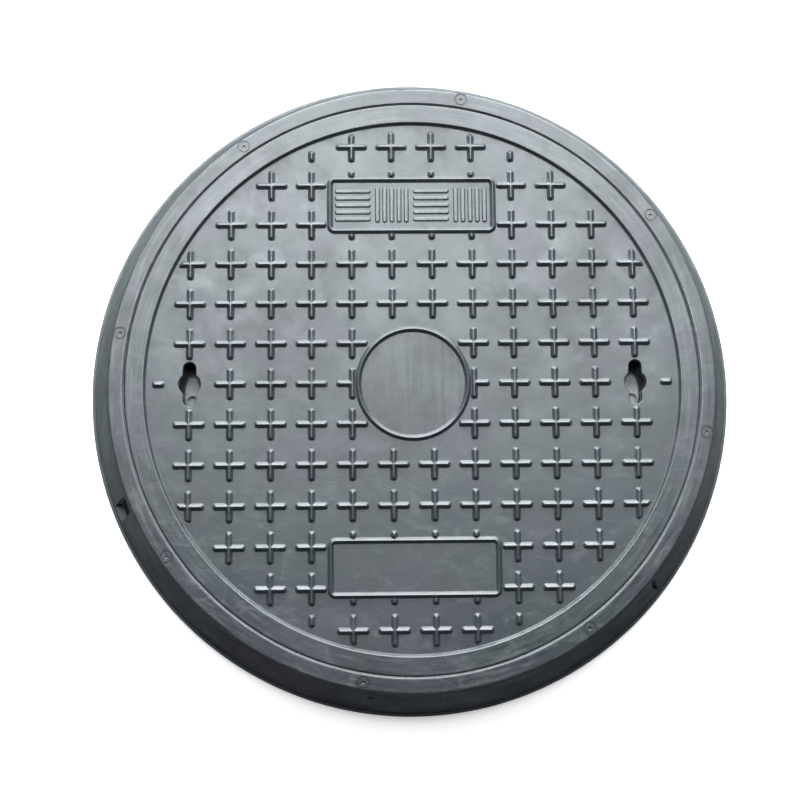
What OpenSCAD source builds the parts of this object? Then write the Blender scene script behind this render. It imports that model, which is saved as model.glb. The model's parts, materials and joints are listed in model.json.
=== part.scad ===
// Round inspection cover of moulded composite, lying in its frame.
// Origin: centre of the frame's base plane. +Z points up to the walking face.

/* [Cover] */
// Diameter of the cover
cover_d = 700; // [600:10:840]
// Depth from the walking face to the foot of the skirt
cover_h = 60; // [56:1:66]
// Width of the flat border around the tread field
border_w = 22; // [16:1:30]
// Depth of the tread field below the border
field_drop = 4; // [2:0.5:5]
// Thickness of the plate under the tread field
plate_t = 14; // [12:1:16]
// Thickness of the skirt wall
skirt_t = 12; // [11:1:16]
// Thickness of a stiffening rib
rib_t = 12; // [9:1:14]
// Number of radial ribs, with the locks between two of them
rib_count = 12; // [8:4:16]
// Outer diameter of the ring where the ribs meet
hub_d = 130; // [110:5:160]
// How much smaller the cover's radius is at its foot
cover_draft = 3; // [1:0.5:5]

/* [Tread] */
// Distance from one cross to the next
pitch = 49.5; // [46:0.5:53]
// Length of each arm pair, end to end
cross_span = 39.5; // [30:0.5:44]
// Width of an arm at its foot
arm_w = 8.7; // [6:0.1:10]
// Width of an arm at its crest
crest_w = 3; // [2:0.1:5]
// Flat strip left between the tread and the step up to the border
tread_margin = 5; // [2:0.5:10]

/* [Medallion and panels] */
// Outer diameter of the round ridge at the centre
medallion_d = 142; // [120:1:160]
// Length of a panel over its ridge
panel_l = 210; // [190:1:220]
// Width of a panel over its ridge
panel_w = 73; // [60:1:80]
// Outer corner radius of a panel
panel_r = 10; // [9:0.5:14]
// Width of the ridges around the panels and the medallion, at their foot
ridge_w = 8; // [6:0.5:8.5]
// Number of weave tiles in the upper panel
tile_count = 4; // [2:1:5]
// Height of the fine ribs in a weave tile
weave_h = 1.2; // [0.6:0.1:2]

/* [Keyholes and locks] */
// Distance from the middle of a keyhole to the centre of its end lobes
lobe_offset = 19.5; // [17:0.5:20]
// Radius of the end lobes, which is half the width of the slot
lobe_r = 7.8; // [6:0.1:8]
// Radius of the middle lobe
middle_lobe_r = 13.5; // [10:0.5:15]
// Depth from the tread field to the face of the lock driver
driver_depth = 26; // [24:1:28]
// Thickness of the driver's disc
driver_t = 12; // [9:1:13]
// Radius of the bore that the driver turns in
cup_bore_r = 28.5; // [28.5:0.1:30]
// Wall thickness of the lock cup
cup_wall = 3.5; // [3:0.5:5]
// Diameter of the driver's stem
stem_d = 15.9; // [14:0.1:16]
// Thickness of the lock tongue
tongue_t = 10; // [8:1:11]
// Width of the lock tongue's arm
tongue_w = 22; // [18:1:26]
// Length of lip that a closed tongue reaches under
tongue_hold = 18; // [12:1:20]

/* [Frame] */
// Height of the frame
frame_h = 100; // [97:1:120]
// Width of the frame's flat top face
face_w = 18; // [16:1:26]
// Open gap between the cover and the frame
seat_gap = 3; // [1.5:0.5:5]
// How far the outer wall leans out from the top face to the foot
flare = 37; // [30:1:60]
// Width of the seat that carries the cover
seat_w = 40; // [36:1:48]
// Thickness of the seat ledge
ledge_t = 12; // [10:1:14]
// Wall thickness of the frame
wall_t = 8; // [6:0.5:9]
// Number of gussets inside the hollow of the frame
gusset_count = 16; // [8:4:24]
// Thickness of the rubber gasket on the seat
gasket_t = 2; // [1:0.5:4]
// Number of ejector pin marks on the top face
pin_count = 8; // [4:1:12]
// Direction of the first pin mark, in degrees
pin_first = 35; // [0:1:44]

/* [Steel reinforcement] */
// Diameter of the hoop moulded into the skirt
skirt_hoop_d = 7; // [5:0.5:8]
// Diameter of the hoops and bars in the ribs and the frame
bar_d = 6; // [4:0.5:6]

/* [Hidden] */
$fn = 96;
eps = 0.01;        // overlap that joins touching shapes
cast_gap = 0.05;   // all-round play of a steel piece in its pocket
edge = 2;          // chamfer on the worn top edges
left = -1;
right = 1;

// cover
cover_r = cover_d / 2;
field_z = frame_h - field_drop;
plate_z = field_z - plate_t;
seat_z = frame_h - cover_h;
field_r = cover_r - border_w;
skirt_out = cover_r - cover_draft;
skirt_in = skirt_out - skirt_t;
rib_lift = 6;      // the ribs end this far above the foot of the skirt
hoop_lift = 8;     // height of the skirt's hoop above the same foot
bar_cover = 2;     // length of plate left past each end of a bar
rib_z = seat_z + rib_lift;
hub_r = hub_d / 2;
hub_in = hub_r - rib_t;

// frame
face_in = cover_r + seat_gap;
face_out = face_in + face_w;
foot_h = 5;        // height of the upright rim around the foot
foot_lip = 4;      // width of the step on top of that rim
base_r = face_out + flare + foot_lip;
ledge_top = seat_z - gasket_t;
ledge_z = ledge_top - ledge_t;
wall_in = face_in - cover_draft;
clear_r = wall_in - seat_w;
lip_depth = 28;    // how far the ledge reaches in past the wall under it
under_in = clear_r + lip_depth;
head_t = 12;       // solid head above the hollow
gusset_angle = 1.2;
slope = flare / (frame_h - edge - foot_h);
slope_wall = wall_t * sqrt(1 + slope * slope);

// tread rows lie on whole pitches and columns on half pitches
tread_r = field_r - tread_margin;
rows = ceil(field_r / pitch);
arm_foot = arm_w / 2;
arm_crest = crest_w / 2;
half_span = cross_span / 2;
full_cross_r = tread_r - arm_w * 0.75;
stub_r = tread_r + arm_w * 0.25;
medallion_r = medallion_d / 2;
ridge_crest = ridge_w * 0.35;
panel_reach = sqrt(pow(tread_r, 2) - pow(panel_l / 2, 2)) - panel_w / 2;
panel_y = (floor(panel_reach / pitch - 0.5) + 0.5) * pitch;

// locks
cup_r = cup_bore_r + cup_wall;
cup_clear = 3;     // least space between a lock cup and the frame's lip
lock_x = (floor((clear_r - cup_r - cup_clear) / pitch - 0.5) + 0.5) * pitch;
driver_z = field_z - driver_depth;
driver_gap = 0.5;  // play around the driver's disc
driver_r = cup_bore_r - driver_gap;
drive_pocket_r = 7;
drive_pocket_depth = 5;
seal_t = 1.7;
turn_gap = 0.3;    // space between faces that turn on each other
cup_floor_z = driver_z - driver_t - seal_t - turn_gap;
cup_floor_t = 6;
flange_t = 4;
flange_lip = 11;   // how far the flange reaches out past the cup
flange_r = cup_r + flange_lip;
screw_ring_r = cup_r + flange_lip / 2;
screw_d = 4.4;
screw_count = 4;
screw_bite = 8;    // length of screw in the plate
tongue_gap = 2;    // height between the closed tongue and the lip over it
tongue_top = ledge_z - tongue_gap;
tongue_z = tongue_top - tongue_t;
tongue_l = clear_r - lock_x + tongue_hold;
spring_h = 10;
hub_foot_z = tongue_top + spring_h;
stem_r = stem_d / 2;
stem_play = 0.05;
bush_wall = 2;
bush_r = stem_r + stem_play + bush_wall;
cup_hub_wall = 5;
cup_hub_r = bush_r + cup_hub_wall;
square_w = 11;
square_play = 0.1;
thread_r = 5;
washer_t = 2;
nut_t = 7;
nut_r = 9.8;
thread_tail = 1.5;
mid_ring_space = 20;   // from a lock's flange to the ring between hub and skirt
mid_ring_out = lock_x - flange_r - mid_ring_space;
mid_ring_in = mid_ring_out - rib_t;

// colours
composite = [0.42, 0.45, 0.49];
composite_dark = [0.33, 0.36, 0.40];
steel = [0.62, 0.62, 0.63];
rubber_black = [0.10, 0.10, 0.11];
lock_grey = [0.50, 0.52, 0.54];
bronze = [0.66, 0.52, 0.30];

// ---- shared shapes ----

// Ring of a rectangular section between two radii and two heights
module flat_ring(inner, outer, low, high)
    rotate_extrude()
        translate([inner, low])
            square([outer - inner, high - low]);

// Round hoop of rod at radius r and height z
module hoop(r, z, rod_r)
    rotate_extrude()
        translate([r, z])
            circle(r = rod_r);

// Straight ridge along X with sloping sides, from x0 to x1
module ridge(x0, x1, foot, crest, height)
    translate([x0, 0, 0])
        rotate([90, 0, 90])
            linear_extrude(x1 - x0)
                polygon([[-foot, -1], [foot, -1], [foot, 0], [crest, height], [-crest, height],
                         [-foot, 0]]);

// ---- frame ----

// Section of the whole frame ring, without its hollow
module frame_section()
    polygon([[under_in, 0], [base_r, 0], [base_r, foot_h], [base_r - foot_lip, foot_h],
             [face_out, frame_h - edge], [face_out - edge, frame_h], [face_in + edge, frame_h],
             [face_in, frame_h - edge], [wall_in, ledge_top], [clear_r, ledge_top],
             [clear_r, ledge_z], [under_in, ledge_z]]);

// Section of the hollow under the top face, open at the base
module hollow_section() {
    head_z = frame_h - head_t;
    inner = face_in + wall_t;
    head_out = max(inner + 2, face_out + (frame_h - edge - head_z) * slope - slope_wall);
    foot_out = base_r - foot_lip + foot_h * slope - slope_wall;
    polygon([[under_in + wall_t, -1], [foot_out, -1], [head_out, head_z], [inner, head_z],
             [inner, ledge_top + wall_t], [under_in + wall_t, ledge_z + wall_t / 2]]);
}

module frame_hollows() {
    step = 360 / gusset_count;
    for (i = [0 : gusset_count - 1])
        rotate((i + 0.5) * step + gusset_angle / 2)
            rotate_extrude(angle = step - gusset_angle)
                hollow_section();
}

// Ejector pin mark: a ring groove with a dimple at its middle
module pin_mark() {
    groove_out = 8;
    groove_in = 5.8;
    groove_depth = 1;
    dimple_r = 2;
    translate([(face_in + face_out) / 2, 0, frame_h - groove_depth]) {
        difference() {
            cylinder(r = groove_out, h = groove_depth * 2);
            translate([0, 0, -eps])
                cylinder(r = groove_in, h = groove_depth * 2 + 1);
        }
        cylinder(r = dimple_r, h = groove_depth * 2);
    }
}

// Upright notch through the outer wall, with a round back
module wall_notch(half_w, low, high) {
    back_in = 7;   // from the face's edge out to the centre of the round back
    back_r = face_out + back_in;
    translate([back_r, 0, low]) {
        cylinder(r = half_w, h = high - low);
        translate([0, -half_w, 0])
            cube([base_r, half_w * 2, high - low]);
    }
}

module frame_ring() {
    wide_notch_at = 202.5;
    wide_notch_half = 11;
    narrow_notch_at = 320;
    narrow_notch_half = 3;
    narrow_notch_lift = 10;
    notch_low = 14;
    notch_high = frame_h - head_t - 3;
    color(composite_dark)
        difference() {
            rotate_extrude() frame_section();
            frame_hollows();
            for (i = [0 : pin_count - 1])
                rotate(pin_first + i * 360 / pin_count)
                    pin_mark();
            rotate(wide_notch_at)
                wall_notch(wide_notch_half, notch_low, notch_high);
            rotate(narrow_notch_at)
                wall_notch(narrow_notch_half, notch_low + narrow_notch_lift, notch_high);
            head_hoop(cast_gap);
            seat_hoop(cast_gap);
        }
}

module head_hoop(extra)
    hoop((face_in + face_out) / 2, frame_h - head_t / 2, bar_d / 2 + extra);

module seat_hoop(extra)
    hoop(clear_r + lip_depth - wall_t, ledge_z + ledge_t / 2, bar_d / 2 + extra);

module frame_head_hoop()
    color(steel) head_hoop(0);

module frame_seat_hoop()
    color(steel) seat_hoop(0);

module seat_gasket() {
    inset = 6;     // the gasket starts this far from the edge of the opening
    color(rubber_black)
        flat_ring(clear_r + inset, wall_in - 1, ledge_top, seat_z);
}

// ---- cover ----

// Section of the plate, the border and the skirt
module cover_section()
    polygon([[0, plate_z], [skirt_in, plate_z], [skirt_in, seat_z], [skirt_out, seat_z],
             [cover_r, frame_h - edge], [cover_r - edge, frame_h], [field_r, frame_h],
             [field_r - field_drop, field_z], [0, field_z]]);

// Arm pair along X, hipped at both ends, with its foot at height 0
module arm_pair() {
    intersection() {
        ridge(-half_span, half_span, arm_foot, arm_crest, field_drop);
        rotate(90)
            ridge(-arm_foot, arm_foot, half_span, half_span - arm_foot + arm_crest, field_drop);
    }
}

module cross() {
    arm_pair();
    rotate(90) arm_pair();
}

// Inner arm only, where the border leaves no room for a whole cross
module stub()
    translate([-half_span, 0, 0])
        ridge(0, half_span - arm_foot, arm_foot, arm_crest, field_drop);

function is_keyhole(x, y) = abs(y) < pitch / 4 && abs(abs(x) - lock_x) < pitch / 4;

function in_panel(x, y) =
    abs(x) < panel_l / 2 && abs(abs(y) - panel_y) < panel_w / 2;

module tread() {
    for (row = [-rows : rows])
        for (column = [-rows : rows - 1]) {
            x = (column + 0.5) * pitch;
            y = row * pitch;
            reach = norm([x, y]);
            if (reach > medallion_r && reach < full_cross_r && !is_keyhole(x, y))
                translate([x, y, field_z])
                    cross();
            if (reach >= full_cross_r && reach < stub_r)
                translate([x, y, field_z])
                    rotate(abs(x) > abs(y) ? (x > 0 ? 0 : 180) : (y > 0 ? 90 : -90))
                        stub();
        }
}

// Block over a panel, as high as the tread, that clears the crosses from it
module panel_block() {
    r = panel_r;
    for (x = [-1, 1], y = [-1, 1])
        translate([x * (panel_l / 2 - r), y * (panel_w / 2 - r), 0])
            cylinder(r = r, h = 2 * field_drop);
    translate([-panel_l / 2 + r, -panel_w / 2, 0])
        cube([panel_l - 2 * r, panel_w, 2 * field_drop]);
    translate([-panel_l / 2, -panel_w / 2 + r, 0])
        cube([panel_l, panel_w - 2 * r, 2 * field_drop]);
}

// Ridge around a panel: four straight runs and four quarter turns
module panel_ridge() {
    half = ridge_w / 2;
    x_run = panel_l / 2 - panel_r;
    y_run = panel_w / 2 - panel_r;
    for (side = [0, 180])
        rotate(side) {
            translate([0, panel_w / 2 - half, 0])
                ridge(-x_run, x_run, half, ridge_crest / 2, field_drop);
            rotate(90)
                translate([0, panel_l / 2 - half, 0])
                    ridge(-y_run, y_run, half, ridge_crest / 2, field_drop);
        }
    for (x = [-1, 1], y = [-1, 1])
        translate([x * x_run, y * y_run, 0])
            rotate(x > 0 ? (y > 0 ? 0 : 270) : (y > 0 ? 90 : 180))
                rotate_extrude(angle = 90)
                    translate([panel_r - half, 0])
                        ridge_outline(half);
}

module ridge_outline(half)
    polygon([[-half, -1], [half, -1], [half, 0], [ridge_crest / 2, field_drop],
             [-ridge_crest / 2, field_drop], [-half, 0]]);

// Basket weave: tiles of fine ribs that lie along and across the panel in turn
module weave() {
    inner_l = panel_l - 2 * ridge_w;
    tile = (panel_w - 2 * ridge_w) * 0.78;
    tile_pitch = inner_l / tile_count;
    rib_n = 5;
    rib_pitch = tile / rib_n;
    for (i = [0 : tile_count - 1])
        translate([(i + 0.5) * tile_pitch - inner_l / 2, 0, 0])
            rotate(i % 2 * 90)
                for (j = [0 : rib_n - 1])
                    translate([0, (j + 0.5) * rib_pitch - tile / 2, 0])
                        ridge(-tile / 2, tile / 2, rib_pitch * 0.3, rib_pitch * 0.12, weave_h);
}

module medallion_ridge()
    rotate_extrude()
        translate([medallion_r - ridge_w / 2, 0])
            ridge_outline(ridge_w / 2);

// Keyhole with two end lobes and a wider middle lobe
module keyhole(low, high) {
    h = high - low;
    translate([0, 0, low]) {
        for (y = [-lobe_offset, lobe_offset])
            translate([0, y, 0])
                cylinder(r = lobe_r, h = h);
        translate([-lobe_r, -lobe_offset, 0])
            cube([lobe_r * 2, lobe_offset * 2, h]);
        cylinder(r = middle_lobe_r, h = h);
    }
}

module ribs() {
    run = (skirt_in + skirt_t / 2) - (hub_in + rib_t / 2);
    for (i = [0 : rib_count - 1])
        rotate((i + 0.5) * 360 / rib_count)
            translate([hub_in + rib_t / 2, -rib_t / 2, rib_z])
                cube([run, rib_t, plate_z - rib_z + 1]);
    flat_ring(hub_in, hub_r, rib_z, plate_z + 1);
    flat_ring(mid_ring_in, mid_ring_out, rib_z, plate_z + 1);
}

// Puts its children on the lock's axis, with their +X side towards the middle of the cover
module at_lock(side)
    translate([side * lock_x, 0, 0])
        rotate(side > 0 ? 180 : 0)
            children();

module at_screws()
    for (i = [0 : screw_count - 1])
        rotate((i + 0.5) * 360 / screw_count)
            translate([screw_ring_r, 0, 0])
                children();

module cover_plate() {
    color(composite)
        difference() {
            union() {
                rotate_extrude() cover_section();
                ribs();
                intersection() {
                    difference() {
                        tread();
                        translate([0, 0, field_z - 2])
                            cylinder(r = medallion_r - ridge_w / 2, h = field_drop * 2);
                        for (y = [-panel_y, panel_y])
                            translate([0, y, field_z - 2])
                                panel_block();
                    }
                    translate([0, 0, field_z - 2])
                        cylinder(r = tread_r, h = field_drop * 2);
                }
                translate([0, 0, field_z]) {
                    medallion_ridge();
                    for (y = [-panel_y, panel_y])
                        translate([0, y, 0])
                            panel_ridge();
                    translate([0, panel_y, 0])
                        weave();
                }
            }
            for (side = [left, right])
                at_lock(side) {
                    keyhole(plate_z - 1, frame_h + 1);
                    at_screws()
                        translate([0, 0, plate_z - 1])
                            cylinder(d = screw_d + 2 * cast_gap, h = screw_bite + 2);
                }
            skirt_hoop(cast_gap);
            hub_hoop(cast_gap);
            rib_bars(cast_gap);
        }
}

module skirt_hoop(extra)
    hoop(skirt_out - skirt_t / 2, seat_z + hoop_lift, skirt_hoop_d / 2 + extra);

module hub_hoop(extra)
    hoop(hub_r - rib_t / 2, rib_z + rib_t / 2, bar_d / 2 + extra);

// One straight bar low in each rib
module rib_bars(extra) {
    start = hub_r + bar_cover;
    run = skirt_in - bar_cover - start;
    for (i = [0 : rib_count - 1])
        rotate((i + 0.5) * 360 / rib_count)
            translate([start - extra, 0, rib_z + rib_t / 2])
                rotate([0, 90, 0])
                    cylinder(d = bar_d + 2 * extra, h = run + 2 * extra);
}

module cover_skirt_hoop()
    color(steel) skirt_hoop(0);

module cover_hub_hoop()
    color(steel) hub_hoop(0);

module cover_rib_bars()
    color(steel) rib_bars(0);

// ---- locks ----

module lock_cup() {
    color(lock_grey)
        difference() {
            union() {
                cylinder_between(flange_r, plate_z - flange_t, plate_z);
                cylinder_between(cup_r, cup_floor_z - cup_floor_t, plate_z);
                cylinder_between(cup_hub_r, hub_foot_z, cup_floor_z);
            }
            cylinder_between(cup_bore_r, cup_floor_z, plate_z + 1);
            cylinder_between(bush_r + cast_gap, hub_foot_z - 1, cup_floor_z + 1);
            at_screws()
                cylinder_between(screw_d / 2 + 0.5, plate_z - flange_t - 1, plate_z + 1);
        }
}

module cylinder_between(r, low, high)
    translate([0, 0, low])
        cylinder(r = r, h = high - low);

module cup_screws() {
    head_r = 4.5;
    head_t = 3;
    socket_w = 4;
    seat = plate_z - flange_t;
    color(steel)
        at_screws()
            difference() {
                union() {
                    cylinder_between(screw_d / 2, seat - eps, plate_z + screw_bite);
                    cylinder_between(head_r, seat - head_t, seat);
                }
                translate([0, 0, seat - head_t - 1])
                    cylinder(d = socket_w / cos(30), h = 2.6, $fn = 6);
            }
}

module lock_bush()
    color(bronze)
        difference() {
            cylinder_between(bush_r, hub_foot_z, cup_floor_z);
            cylinder_between(stem_r + stem_play, hub_foot_z - 1, cup_floor_z + 1);
        }

// Disc with two drive pockets, on a stem that ends in a square and a threaded tail
module lock_driver() {
    disc_low = driver_z - driver_t;
    tail_z = tongue_z - washer_t - nut_t - thread_tail;
    color(lock_grey)
        difference() {
            union() {
                cylinder_between(driver_r, disc_low, driver_z - 1);
                translate([0, 0, driver_z - 1])
                    cylinder(r1 = driver_r, r2 = driver_r - 1, h = 1);
                cylinder_between(stem_r, tongue_top, disc_low + 1);
                translate([-square_w / 2, -square_w / 2, tongue_z + 0.2])
                    cube([square_w, square_w, tongue_t]);
                cylinder_between(thread_r, tail_z, tongue_top);
            }
            for (y = [-lobe_offset + 1.5, lobe_offset - 1.5])
                translate([0, y, driver_z - drive_pocket_depth])
                    cylinder(r = drive_pocket_r, h = drive_pocket_depth + 1);
        }
}

module driver_seal() {
    top = driver_z - driver_t;
    color(rubber_black)
        difference() {
            cylinder_between(driver_r - 2, top - seal_t, top);
            cylinder_between(stem_r + 0.2, top - seal_t - 1, top + 1);
        }
}

// Points of a closed coil spring, swept as a tube of wire
module coil_spring(mean_r, wire_r, low, high, turns) {
    sides = 8;
    per_turn = 24;
    rings = turns * per_turn;
    rise = (high - low - 2 * wire_r) / rings;
    points = [for (i = [0 : rings], j = [0 : sides - 1])
        let (turn = 360 * i / per_turn, around = 360 * j / sides,
             r = mean_r + wire_r * cos(around))
        [r * cos(turn), r * sin(turn), low + wire_r + rise * i + wire_r * sin(around)]];
    sides_list = [for (i = [0 : rings - 1], j = [0 : sides - 1])
        let (k = (j + 1) % sides)
        [i * sides + j, i * sides + k, (i + 1) * sides + k, (i + 1) * sides + j]];
    first_cap = [for (j = [sides - 1 : -1 : 0]) j];
    last_cap = [for (j = [0 : sides - 1]) rings * sides + j];
    polyhedron(points = points, faces = concat(sides_list, [first_cap, last_cap]));
}

module lock_spring() {
    wire_r = 1;
    turns = 3;
    color(steel)
        coil_spring(stem_r + wire_r + 2.2, wire_r, tongue_top, hub_foot_z - turn_gap, turns);
}

// Flat arm with a round hub and a square hole; the tip is bevelled on top
module lock_tongue() {
    boss_r = 15;
    tip_r = 6;
    bevel = 3;
    color(steel)
        difference() {
            union() {
                cylinder_between(boss_r, tongue_z, tongue_top);
                translate([0, -tongue_w / 2, tongue_z])
                    cube([tongue_l - tip_r, tongue_w, tongue_t]);
                translate([0, -tongue_w / 2 + tip_r, tongue_z])
                    cube([tongue_l, tongue_w - 2 * tip_r, tongue_t]);
                for (y = [-1, 1])
                    translate([tongue_l - tip_r, y * (tongue_w / 2 - tip_r), 0])
                        cylinder_between(tip_r, tongue_z, tongue_top);
            }
            translate([-square_w / 2 - square_play, -square_w / 2 - square_play, tongue_z - 1])
                cube([square_w + 2 * square_play, square_w + 2 * square_play, tongue_t + 2]);
            translate([tongue_l, 0, tongue_top])
                rotate([0, 45, 0])
                    cube([bevel, tongue_w + 2, bevel], center = true);
        }
}

module tongue_washer() {
    washer_r = 12;
    color(steel)
        difference() {
            cylinder_between(washer_r, tongue_z - washer_t, tongue_z);
            cylinder_between(thread_r + 0.3, tongue_z - washer_t - 1, tongue_z + 1);
        }
}

module tongue_nut() {
    top = tongue_z - washer_t;
    color(steel)
        difference() {
            translate([0, 0, top - nut_t])
                cylinder(r = nut_r, h = nut_t, $fn = 6);
            cylinder_between(thread_r + cast_gap, top - nut_t - 1, top + 1);
        }
}

frame_ring();
frame_head_hoop();
frame_seat_hoop();
seat_gasket();
cover_plate();
cover_skirt_hoop();
cover_hub_hoop();
cover_rib_bars();
at_lock(left) lock_cup();  // left_lock_cup
at_lock(left) cup_screws();  // left_cup_screws
at_lock(left) lock_bush();  // left_lock_bush
at_lock(left) lock_driver();  // left_lock_driver
at_lock(left) driver_seal();  // left_driver_seal
at_lock(left) lock_spring();  // left_lock_spring
at_lock(left) lock_tongue();  // left_lock_tongue
at_lock(left) tongue_washer();  // left_tongue_washer
at_lock(left) tongue_nut();  // left_tongue_nut
at_lock(right) lock_cup();  // right_lock_cup
at_lock(right) cup_screws();  // right_cup_screws
at_lock(right) lock_bush();  // right_lock_bush
at_lock(right) lock_driver();  // right_lock_driver
at_lock(right) driver_seal();  // right_driver_seal
at_lock(right) lock_spring();  // right_lock_spring
at_lock(right) lock_tongue();  // right_lock_tongue
at_lock(right) tongue_washer();  // right_tongue_washer
at_lock(right) tongue_nut();  // right_tongue_nut
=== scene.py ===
import json
import math

import bmesh
import bpy
import numpy as np
from mathutils import Euler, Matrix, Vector
from mathutils.geometry import delaunay_2d_cdt

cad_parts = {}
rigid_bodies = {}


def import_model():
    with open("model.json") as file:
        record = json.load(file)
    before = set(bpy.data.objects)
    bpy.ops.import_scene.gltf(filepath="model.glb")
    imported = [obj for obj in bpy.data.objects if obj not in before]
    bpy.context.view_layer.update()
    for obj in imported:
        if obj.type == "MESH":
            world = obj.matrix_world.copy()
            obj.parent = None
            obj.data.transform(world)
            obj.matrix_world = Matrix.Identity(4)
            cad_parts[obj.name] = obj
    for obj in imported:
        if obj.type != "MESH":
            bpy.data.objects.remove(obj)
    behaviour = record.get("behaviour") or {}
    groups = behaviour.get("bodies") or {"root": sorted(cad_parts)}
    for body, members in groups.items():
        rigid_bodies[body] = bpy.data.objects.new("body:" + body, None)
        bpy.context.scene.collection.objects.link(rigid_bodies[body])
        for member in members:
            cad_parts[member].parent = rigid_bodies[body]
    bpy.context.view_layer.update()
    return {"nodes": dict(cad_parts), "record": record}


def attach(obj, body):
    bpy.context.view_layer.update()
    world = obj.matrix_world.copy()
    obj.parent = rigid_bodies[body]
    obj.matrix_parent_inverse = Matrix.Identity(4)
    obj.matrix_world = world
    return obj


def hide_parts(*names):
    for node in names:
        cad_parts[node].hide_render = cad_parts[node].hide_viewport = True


for spare in list(bpy.data.objects):
    bpy.data.objects.remove(spare)
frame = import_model()
mm = 0.001
print("frame loaded,", len(frame["nodes"]), "nodes")


class Shell:
    # Gathers the sheets of one closed surface, in millimetres
    def __init__(self):
        self.points, self.quads, self.tris, self.wear, self.dirtAndShade = [], [], [], [], []
        self.count = 0

    def add(self, points, quads=None, tris=None, wear=0.0, dirtAndShade=0.0, flip=False):
        points = np.asarray(points, float)
        flat = points.reshape(-1, 3)
        shape = points.shape[:-1]
        for faces, kept in ((quads, self.quads), (tris, self.tris)):
            if faces is not None and len(faces):
                faces = np.asarray(faces)
                kept.append((faces[:, ::-1] if flip else faces) + self.count)
        self.points.append(flat)
        for value, kept in ((wear, self.wear), (dirtAndShade, self.dirtAndShade)):
            value = np.asarray(value, float)
            if value.ndim == 1 and len(shape) == 2:
                value = value[:, None]
            kept.append(np.broadcast_to(value, shape).reshape(-1))
        self.count += len(flat)

    # Rows of a sheet joined by quads; every row is a closed loop
    def sheet(self, rows, wear=0.0, dirtAndShade=0.0, flip=False, wrap=False):
        m, n = rows.shape[:2]
        i, j = np.meshgrid(np.arange(m if wrap else m - 1), np.arange(n), indexing="ij")
        i2, j2 = (i + 1) % m, (j + 1) % n
        quads = np.stack([i * n + j, i * n + j2, i2 * n + j2, i2 * n + j], -1)
        self.add(rows, quads.reshape(-1, 4), None, wear, dirtAndShade, flip)

    # Flat region at height z inside the outer loop and outside the hole loops
    def region(self, outer, holes, z, wear=0.0, dirtAndShade=0.0, flip=False):
        loops = [outer] + list(holes)
        starts = np.cumsum([0] + [len(loop) for loop in loops])
        faces = [list(range(a, b)) for a, b in zip(starts[:-1], starts[1:])]
        flat = [Vector((float(x), float(y))) for x, y in np.concatenate(loops)]
        found, _, tris, _, _, owners = delaunay_2d_cdt(flat, [], faces, 1, 1e-5)
        kept = np.array([t for t, owner in zip(tris, owners) if list(owner) == [0]])
        spots = np.array([[p.x, p.y, z] for p in found])
        a, b, c = (spots[kept[:, k], :2] for k in range(3))
        turned = np.cross(b - a, c - a) < 0
        kept[turned] = kept[turned][:, ::-1]
        self.add(spots, None, kept, wear, dirtAndShade, flip)

    def build(self, name, smooth=None):
        points = np.concatenate(self.points) * mm
        mesh = bpy.data.meshes.new(name)
        faces = []
        for kept in (self.quads, self.tris):
            if kept:
                faces += np.concatenate(kept).tolist()
        mesh.from_pydata(points.tolist(), [], faces)
        # wear is edge wear; the other attribute is dirt and painted shade, high in the fillets, on
        # the keyhole walls and down into the gap between cover and frame
        for label, kept in (("wear", self.wear), ("dirtAndShade", self.dirtAndShade)):
            layer = mesh.attributes.new(label, "FLOAT", "POINT")
            layer.data.foreach_set("value", np.concatenate(kept).astype(np.float32))
        work = bmesh.new()
        work.from_mesh(mesh)
        bmesh.ops.remove_doubles(work, verts=work.verts, dist=2e-6)
        bmesh.ops.dissolve_degenerate(work, edges=work.edges, dist=1e-7)
        bmesh.ops.recalc_face_normals(work, faces=work.faces)
        openEdges = sum(1 for e in work.edges if len(e.link_faces) != 2)
        work.to_mesh(mesh)
        work.free()
        mesh.shade_smooth()
        if smooth is not None:
            mesh.set_sharp_from_angle(angle=math.radians(smooth))
        made = bpy.data.objects.new(name, mesh)
        bpy.context.scene.collection.objects.link(made)
        print(name, len(mesh.vertices), "vertices,", len(mesh.polygons), "faces,",
              openEdges, "open edges")
        return made


# Circle: point k lies at radius r and angle 360 k / n
def circleLoop(r, n, x=0.0, y=0.0):
    t = 2 * math.pi * np.arange(n) / n
    return np.stack([x + r * np.cos(t), y + r * np.sin(t)], -1)


# Surface of revolution: profile point (r, z) turned to n angles
def turned(profile, n, x=0.0, y=0.0):
    t = 2 * math.pi * np.arange(n) / n
    r, z = np.asarray(profile, float).T[:2]
    return np.stack([x + r[:, None] * np.cos(t), y + r[:, None] * np.sin(t),
                     np.repeat(z[:, None], n, 1)], -1)


# Outline carried up a profile: row i is the outline for inset s_i, at height z_i
def carried(outline, profile):
    return np.stack([np.column_stack([loop, np.full(len(loop), z)])
                     for loop, z in ((outline(s), z) for s, z in profile)])


def turnedBy(loop, degrees):
    c, s = math.cos(math.radians(degrees)), math.sin(math.radians(degrees))
    x, y = loop[..., 0], loop[..., 1]
    return np.stack([x * c - y * s, x * s + y * c], -1)


# Arc points: centre plus radius times (cos, sin) over k even steps
def arc(cx, cy, r, start, end, k):
    t = np.radians(np.linspace(start, end, k))
    return np.stack([cx + r * np.cos(t), cy + r * np.sin(t)], -1)


# Profile arc from angle start to end, as (r, z) rows
def bend(r, z, radius, start, end, k=4):
    return arc(r, z, radius, start, end, k).tolist()


# Rounded rectangle: four quarter circles of the corner radius
def panelLoop(halfX, halfY, corner, k=9):
    parts = [arc(sx * (halfX - corner), sy * (halfY - corner), corner, a, a + 90, k)
             for sx, sy, a in ((1, 1, 0), (-1, 1, 90), (-1, -1, 180), (1, -1, 270))]
    return np.concatenate(parts)


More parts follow.
